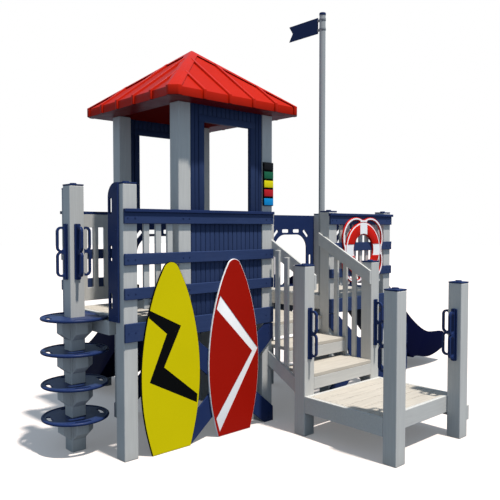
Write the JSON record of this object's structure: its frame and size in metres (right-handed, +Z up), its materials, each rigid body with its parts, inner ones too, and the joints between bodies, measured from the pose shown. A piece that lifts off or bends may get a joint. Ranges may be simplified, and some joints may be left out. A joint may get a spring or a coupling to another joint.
{
  "type": "lifeguard tower",
  "caption": "Playground tower in the style of a lifeguard station, with a roofed look-out, stairs, slides, a disc climber and surfboard panels.",
  "frame": {"origin": "centre of the foot of the tower's front left post, on the ground", "axes": "+X along the front to the right, +Y from the front to the back, +Z up"},
  "size_m": [6.2749, 4.743, 4.57],
  "materials": {
    "grey_post": "satin grained",
    "grey_board": "satin grained",
    "tan_board": "satin grained",
    "navy_board": "satin grained",
    "dark_navy": "satin",
    "navy_wall": "satin beaded",
    "navy_slide": "gloss",
    "red_roof": "satin",
    "yellow_sheet": "satin",
    "red_sheet": "satin",
    "ring_red": "satin",
    "grey_tube": "satin",
    "plaque_black": "satin"
  },
  "bodies": {
    "root": {"back_barriers": "grey_board", "back_slats": "navy_board", "brace_panel_back": "dark_navy", "brace_panel_front": "dark_navy", "brace_panel_landing": "dark_navy", "cap_boards": "dark_navy", "climber_discs": "dark_navy", "climber_gussets": "grey_board", "climber_handles": "dark_navy", "climber_post": "grey_post", "climber_step": "grey_board", "colour_plaque": "plaque_black", "deck_fascia": "grey_board", "deck_joists": "grey_board", "entry_handles": "dark_navy", "entry_posts": "grey_post", "facade_slats": "navy_board", "flag": "dark_navy", "flagpole": "grey_tube", "front_balusters": "grey_board", "grip_plates": "dark_navy", "landing_back_entry_panel": "dark_navy", "landing_back_slide": "navy_slide", "landing_posts": "grey_post", "landing_side_entry_panel": "dark_navy", "landing_side_slide": "navy_slide", "landing_slats": "navy_board", "left_bay_posts": "grey_post", "life_ring": "ring_red", "low_deck_boards": "tan_board", "low_deck_fascia": "grey_board", "low_deck_side_board": "grey_board", "post_caps": "dark_navy", "roof": "red_roof", "slide_feet": "grey_tube", "stair_head_boards": "tan_board", "stair_posts": "grey_post", "stair_rails": "grey_board", "stair_risers": "grey_board", "stair_treads": "tan_board", "surfboard_red": "red_sheet", "surfboard_yellow": "yellow_sheet", "tower_back_entry_panel": "dark_navy", "tower_back_slide": "navy_slide", "tower_back_wall": "navy_wall", "tower_front_wall": "navy_wall", "tower_posts": "grey_post", "upper_deck_boards": "tan_board"}
  },
  "joints": []
}
